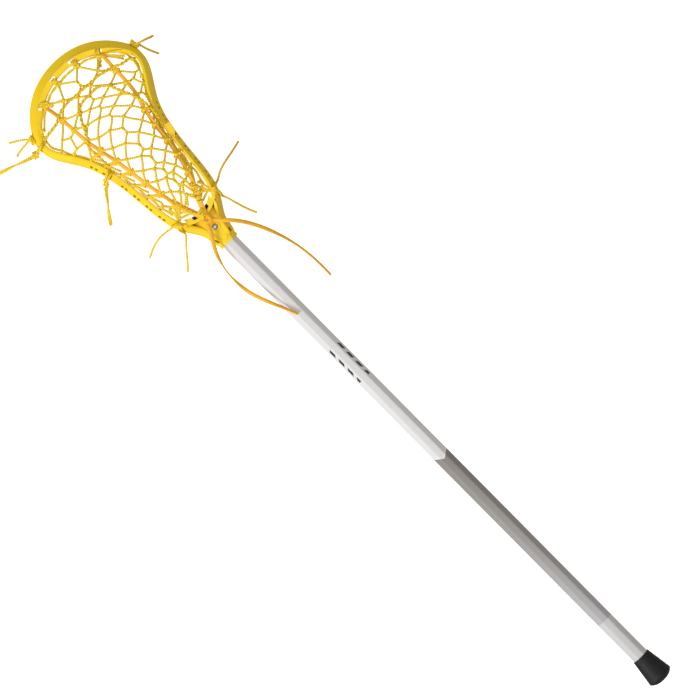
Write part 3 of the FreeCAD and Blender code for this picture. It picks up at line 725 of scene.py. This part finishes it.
def make_cross_lace(material):
    weave = Weave()
    rows = range(len(MIDDLE_TOP))
    for side in (1, -1):
        for row in rows:
            outer, inner = on_plan(OUTER_KNOTS[side][row]), on_plan(INNER_KNOTS[side][row])
            hitch = hitch_place(side, row)
            lace_run(weave, outer, hitch)
            lace_run(weave, outer, inner)
            lace_run(weave, inner, on_plan(MIDDLE_TOP[row]))
            lace_run(weave, inner, on_plan(MIDDLE_FOOT[row]))
            if row:
                lace_run(weave, outer, hitch_place(side, row - 1))
                lace_run(weave, outer, on_plan(INNER_KNOTS[side][row - 1]))
            weave.knot(outer, outer - inner)
            weave.knot(inner + Vector((0, side * 0.8, 0)), Vector((0.4, 1, 0)))
    for row in rows[1:]:
        foot, top = on_plan(MIDDLE_FOOT[row - 1]), on_plan(MIDDLE_TOP[row])
        doubled_run(weave, foot, top)
    # From the first row up to the two inner slots of the scoop.
    crest = on_pocket(503.5, -5)
    doubled_run(weave, crest, on_plan(MIDDLE_TOP[0]))
    weave.knot(crest, Vector((1, 0, 0)), 0.9)
    for side, inner_slot, outer_slot in ((1, 1, 0), (-1, 2, 3)):
        shoulder = on_plan(OUTER_KNOTS[side][0])
        lace_run(weave, slot_knot(inner_slot), crest, 0.2)
        lace_run(weave, slot_knot(inner_slot), shoulder, 0.2)
        doubled_run(weave, slot_knot(outer_slot), shoulder)
    # The last row is gathered and tied off on the two thongs above the ball stop.
    gather = on_pocket(306, -3)
    weave.knot(gather, Vector((1, 0.2, 0)), 1.1)
    lace_run(weave, on_plan(MIDDLE_FOOT[-1]), gather)
    for place in ((298, -10), (294.5, -8.5)):
        lace_run(weave, gather, on_plan(place, 1.2))
    for place in ((297.5, 8), (294.5, 6)):
        lace_run(weave, gather, on_plan(place, 1.2))
    lace_run(weave, on_plan(INNER_KNOTS[-1][-1]), on_plan((299, -12)))
    lace_run(weave, on_plan(INNER_KNOTS[1][-1]), on_plan((301, 11)))
    return weave.piece("cross_lace", material, "cross_lace_net")


# Sidewall knots between each thong and the rail, and where they are tied to the rail.
WALL_TIES = {
    1: [(489, 68), (454.5, 70), (440.5, 61), (421, 50), (402, 43), (381, 38), (360, 35), (338, 32),
        (317, 29.5)],
    -1: [(474, -74), (450, -74), (442, -66), (428, -57), (412, -49), (397, -43), (376, -38.5), (352, -36),
         (330, -33)],
}
SIDE_KNOTS = {
    1: [(463, 59.5), (457.5, 50), (442.5, 54)],
    -1: [(459.5, -64.5), (455.5, -58), (443.5, -62.5), (437, -53)],
}


def wall_tie(side, number):
    x, y = WALL_TIES[side][number]
    reach = min(abs(y), abs(rail_y(side, x)) - 1.6)
    return Vector((x, side * reach, rail_top(x) - 2.2))


def make_side_lacing(side, name, node, material):
    """Sidewall lacing: a few large cells by the scoop, then long runs nearly along the thong."""
    weave = Weave()
    ties = [wall_tie(side, number) for number in range(len(WALL_TIES[side]))]
    rail_line = []
    for number in range(30):
        x = 300 + (492 - 300) * number / 29
        rail_line.append(Vector((x, rail_y(side, x) - side * (1.6 + 0.7 * math.sin(number * 1.7)),
                                 rail_top(x) - 2.8)))
    weave.lace(curve_through(rail_line, 0.9))
    knots = [on_plan(place) for place in SIDE_KNOTS[side]]
    for knot in knots:
        weave.knot(knot, Vector((1, 0.5, 0)), 0.9)
    if side == 1:
        first, second, third = knots
        runs = [(hitch_place(1, 0), first), (first, ties[1]), (first, second), (second, hitch_place(1, 1)),
                (second, third), (third, hitch_place(1, 2)), (third, ties[2]), (hitch_place(1, 2), ties[3])]
        start = 3
    else:
        first, second, third, fourth = knots
        bend = on_pocket(459, -71)
        runs = [(hitch_place(-1, 0), first), (first, bend), (bend, ties[0]), (bend, ties[1]), (first, second),
                (second, hitch_place(-1, 1)), (second, third), (third, ties[2]), (third, fourth),
                (fourth, hitch_place(-1, 2)), (fourth, ties[3])]
        start = 4
    for row in range(3, len(HITCHES[side])):
        number = min(start + row - 3, len(ties) - 1)
        runs.append((hitch_place(side, row), ties[number]))
        following = min(number + 1, len(ties) - 1)
        runs.append((ties[number] + Vector((-1, -side * 2.5, 0)), hitch_place(side, row, -7)))
        runs.append((ties[number], ties[following] + Vector((3, -side * 3.5, 0))))
    for begin, finish in runs:
        lace_run(weave, begin, finish)
    for tie in ties:
        weave.knot(tie, Vector((1, 0.2, 0)), 1.15)
        outside = Vector((tie.x - 1, rail_y(side, tie.x) + side * 4.4, rail_top(tie.x) - 9.5))
        weave.lace(curve_through([tie, (tie + outside) / 2 + Vector((0, 0, -1.5)), outside], 0.9))
    return weave.piece(name, material, node)


def make_thong(side, name, node, material):
    """Leather thong on the pocket, from the scoop slot over the ball stop wall."""
    weave = Weave()
    points = []
    start = {1: 510, -1: 506.5}[side]
    for number in range(24):
        x = 267 + (start - 267) * number / 23
        y = thong_y(side, x)
        height = pocket_top(x, y)
        if x < 296:
            height = STOP_TOP + 1.4 + (height - STOP_TOP - 1.4) * ease(280, 296, x)
        points.append(Vector((x, y, height)))
    path = curve_through(points, 2.0)
    weave.ribbon(path, 5.0, 1.8, lambda part: 0.35 * math.sin(part * 17 + side))
    # Near the throat the end is doubled back on itself, a little to one side.
    weave.ribbon([point + Vector((0, -side * 1.4, -1.5)) for point in path[2:26]], 6.4, 1.7)
    return weave.piece(name, material, node)


def make_wraps(material):
    """The cross lace is hitched round each thong at every row, with more turns by the throat."""
    weave = Weave()
    for side in (1, -1):
        for row, x in enumerate(HITCHES[side]):
            place = hitch_place(side, row)
            ahead = hitch_place(side, row, 2)
            weave.coil(place, ahead - place, (3.3, 2.0), 2.6, 1.6, LACE * 0.85, start=wander(3))
            weave.knot(place + Vector((wander(0.8), -side * 3.6, 0.2)), Vector((1, 0, 0)), 0.95)
            weave.knot(place + Vector((wander(0.8) - 1, side * 3.4, 0.2)), Vector((1, 0.4, 0)), 0.8)
        for x in (306, 293, 288):
            place = on_pocket(x, thong_y(side, x), 0.6)
            ahead = on_pocket(x + 3, thong_y(side, x + 3), 0.6)
            weave.coil(place, ahead - place, (3.7, 2.6), 3.2, 1.5, LACE * 0.85, start=wander(3))
    return weave.piece("thong_hitches", material)


def make_throat_ties(material):
    """The sidewall laces are gathered beside the ball stop and tied over the rails; their ends hang free."""
    weave = Weave()
    # Turns round both thongs where they come together over the ball stop.
    for x, turns in ((279.5, 1.4), (275.5, 1.5), (272, 1.2)):
        radii = (5.5 - (280 - x) * 0.25, 2.3)
        weave.coil(Vector((x, 0, STOP_TOP + 1.6)), Vector((1, 0, 0)), radii, 2.6, turns, LACE * 0.85,
                   start=wander(3))
    for side in (1, -1):
        crown = RAIL + 1.4
        tie = Vector((286.5, side * 31.5, crown))
        weave.coil(tie, Vector((1, side * 0.5, 0)), (3.2, 1.8), 5.5, 2.4, LACE)
        weave.knot(tie + Vector((-3, side * -1.5, 0.4)), Vector((0.4, 1, 0)), 1.2)
        outer_start = TAIL_STARTS[SIDE_NAMES[side] + "_throat_tail_a"]
        inner_start = TAIL_STARTS[SIDE_NAMES[side] + "_throat_tail_b"]
        weave.lace(curve_through([tie, tie + Vector((3, side * 5, -1.4)),
                                  outer_start + Vector((-0.6, -side * 2.2, 5)),
                                  outer_start], 0.8))
        weave.lace(curve_through([tie, tie + Vector((-5, side * 3.2, -1.6)),
                                  inner_start + Vector((2.6, side * 0.4, 6)),
                                  inner_start], 0.8))
        for x, spread in ((303, 20), (307, 25), (311, 17), (299, 16)):
            foot = Vector((289 + wander(1), side * (27.5 + wander(2)), RAIL - 1.5))
            weave.lace(curve_through([on_pocket(x, side * spread), (on_pocket(x, side * spread) + foot) / 2
                                      + Vector((wander(1), wander(1), -1)), foot], 0.9))
            weave.knot(on_pocket(x, side * spread), Vector((1, wander(1), 0)), 0.9)
        # Runs from the gathered laces across to the thong.
        for x, spread, reach in ((296, 21, 12), (291, 24, 12.5), (301, 26, 16)):
            weave.lace(curve_through([on_pocket(x, side * spread),
                                      on_pocket(x - 2, side * (spread + reach) / 2, -1),
                                      on_pocket(x - 4, side * reach)], 0.9))
    return weave.piece("throat_ties", material)


def make_scoop_lace(material):
    """Lace from slot to slot along the scoop, and the lashings over the edge of the rail."""
    weave = Weave()
    for number in range(3):
        first, second = slot_knot(number), slot_knot(number + 1)
        middle = (first + second) / 2 + Vector((1.6 if number == 1 else 2.6, 0, 0.3))
        twisted_pair(weave, curve_through([first, middle, second], 0.9), 0.75, 22, LACE * 0.8)
    for number, ends in ((0, ((494, 68.5), (489.5, 66))), (3, ((491.5, -73.5), (484, -70), (482, -67)))):
        for index, (x, y) in enumerate(ends):
            start = slot_knot(number) + Vector((0, wander(1), index * 0.8))
            end = Vector((x, y, rail_top(x) - 2 - index))
            weave.lace(curve_through([start, (start + end) / 2 + Vector((2, 0, 0)), end], 0.9))
    weave.piece("scoop_lace_pair", material, "scoop_lace")
    weave = Weave()
    for number in range(4):
        middle, inward, along = slot_frame(number)
        centre = middle + inward * 3.8 - Vector((0, 0, 2.2))
        weave.coil(centre, along, (4.8, 3.7), 5.8, 3.0, 3.0, start=0.4)
        for turn in (-1, 1):
            weave.knot(slot_knot(number) + along * 1.7 * turn, along * turn + inward, 1.4)
        # Beside a thong the ends are knotted several times more.
        for step in range({0: 2, 3: 4}.get(number, 0)):
            place = slot_knot(number) + inward * (2.8 + 3.2 * step)
            place = place + Vector((wander(0.6), wander(0.6), 0.6))
            weave.knot(place, Vector((wander(1), 1, 0.2)), 1.35 - 0.1 * step)
    weave.piece("scoop_lashing_turns", material, "scoop_lashings")


def make_rim_knots(material):
    """Knots outside the rim that hold the ends of the shooting cords and the sidewall laces, by the tail they hold."""
    knots = {}
    weave = Weave()
    heart = Vector((474.3, 95.8, 30))
    weave.coil(heart, Vector((0.3, 1, 0)), (3.9, 3.6), 6.4, 2.6, 3.4)
    weave.coil(heart, Vector((1, 0.35, 0.2)), (3.8, 3.4), 5.2, 2.0, 3.4)
    for aside in (-1.3, 1.3):
        weave.lace(curve_through([heart, Vector((475 + aside, 99, 30)), Vector((475.6 + aside, 102.6, 30))],
                                 0.9))
    knots["left_shooting_tail"] = [weave.piece("shooting_stopper_knot", material, "left_shooting_knot")]
    for name, centre, side in (("left_corner", Vector((491, 86.5, 22)), 1),
                               ("right_corner", Vector((487, -88.5, 22)), -1)):
        weave = Weave()
        weave.coil(centre, Vector((1, -side * 0.12, 0)), (2.5, 2.4), 12, 4.2, 3.1)
        weave.coil(centre + Vector((-2.5, side * 0.6, 1.2)), Vector((0.5, side, 0)), (2.7, 2.4), 4.2, 1.6,
                   3.0)
        for tail, _, route in LACE_TAILS:
            if tail.startswith(name):
                start, ahead = Vector(route[0]), Vector(route[1])
                weave.lace(curve_through([centre, start, start.lerp(ahead, 0.2)], 0.9))
        knots[name + "_tail_a"] = [weave.piece(name + "_hitch", material, name + "_knot")]
    weave = Weave()
    weave.coil(Vector((389, 57.5, 30)), Vector((1, -0.4, 0)), (2.3, 2.4), 10, 3.2, 2.8)
    weave.coil(Vector((386, 60, 29.5)), Vector((-0.6, 1, 0)), (2.9, 2.6), 5.0, 1.8, 3.2)
    knots["left_wall_tail"] = [weave.piece("wall_hitch", material, "left_wall_knot")]
    # The left end of the shooting cord and the wall laces come over the rail to those knots.
    weave = Weave()
    over_corner = [(478, 76, 34), (477, 82, 38.6), (475.5, 89, 36), (474.5, 94, 31)]
    twisted_pair(weave, curve_through(over_corner, 0.9), 1.2, 30, LACE)
    for route in (
        [(395, 42, 39), (394, 47.5, 43.8), (391.5, 54, 40), (390, 57, 33)],
        [(391, 40, 39), (390.5, 46.5, 43.8), (388.5, 53, 40), (387.5, 57, 33)],
    ):
        weave.lace(curve_through(route, 0.9))
    weave.piece("rim_crossings", material)
    return knots


def make_thong_knot(material):
    """The two thongs are tied together over the ball stop wall."""
    weave = Weave()
    for start in (0.4, 2.2):
        weave.coil(Vector((266.5, 0, 38)), Vector((start - 1.2, 1, 0)), (2.6, 2.4), 3.2, 1.2, 3.0,
                   start=start)
    points = [(271, 2.6, 40), (266.5, 3.6, 42), (262.4, 0, 42.4), (266, -3.8, 42), (271, -2.8, 40)]
    weave.ribbon(curve_through(points, 0.9), 4.2, 1.5, lambda part: 0.5 * math.sin(part * 6))
    return weave.piece("thong_overhand_knot", material, "thong_knot")


def make_shooting_cords(material):
    upper = [(478, 77), (480.5, 68), (483, 50), (489, 38), (492, 24), (491, 8), (490, -8), (489.5, -18),
             (489, -28),
             (486.5, -38.5), (484, -50), (479, -60), (477, -75)]
    arch = [(398, 41), (407, 41.5), (420, 41.5), (432, 42), (442, 36), (452, 30), (463, 25), (473, 18),
            (478.5, 10),
            (479.5, -4), (478.5, -19), (470, -29.5), (459.5, -34), (450, -38), (440, -43), (430, -46), (411,
                                                                                                        -47.5),
            (399, -45.5), (387, -42)]
    for name, plan in (("upper_shooting_cord", upper), ("lower_shooting_cord", arch)):
        weave = Weave()
        points = []
        for index, (x, y) in enumerate(plan):
            over = 2.0 + 0.5 * math.sin(index * 2.4)
            points.append(on_pocket(x, y, over))
        twisted_pair(weave, curve_through(points, 0.9), 1.25, 13, 2.5)
        weave.piece(name + "_pair", material, name)


# ------------------------------------------------------------------ build

make_camera()
bpy.context.scene.view_settings.view_transform = "Standard"
make_light("key", (0.0, 2.6, 1.9), 1.0, 62, (0.98, 0.99, 1.0))
make_light("top", (0.0, 0.4, 3.6), 2.5, 24, (1.0, 1.0, 1.0))

bpy.ops.mesh.primitive_plane_add(size=24, location=(0, 0, 0))
floor = bpy.context.object
floor.name = "floor"
floor.data.materials.append(studio_floor())
floor.visible_glossy = False
floor.visible_diffuse = False

world = bpy.data.worlds.new("studio")
bpy.context.scene.world = world
world.use_nodes = True
world.node_tree.nodes["Background"].inputs["Color"].default_value = srgb("#FFF9F3")
world.node_tree.nodes["Background"].inputs["Strength"].default_value = 0.45

nylon = moulded_nylon()
lace_yarn = braided_nylon("braided_nylon", "#FFDF34", "#C48808")
leather = dyed_leather()

make_tails(lace_yarn, leather, make_rim_knots(lace_yarn))
refined_copy("head_frame", "head_moulding", nylon)
refined_copy("shaft", "shaft_tube", shaft_enamel())
refined_copy("end_cap", "rubber_cap", moulded_rubber())
refined_copy("head_screw", "pan_screw", zinc_steel())
pad = refined_copy("ball_stop_pad", "foam_pad", cell_foam())
make_thong(1, "left_thong_strap", "left_thong", leather)
make_thong(-1, "right_thong_strap", "right_thong", leather)
make_cross_lace(lace_yarn)
make_side_lacing(1, "left_side_lacing", "left_side_net", lace_yarn)
make_side_lacing(-1, "right_side_lacing", "right_side_net", lace_yarn)
make_wraps(lace_yarn)
make_shooting_cords(lace_yarn)
make_throat_ties(lace_yarn)
make_scoop_lace(lace_yarn)
make_thong_knot(leather)
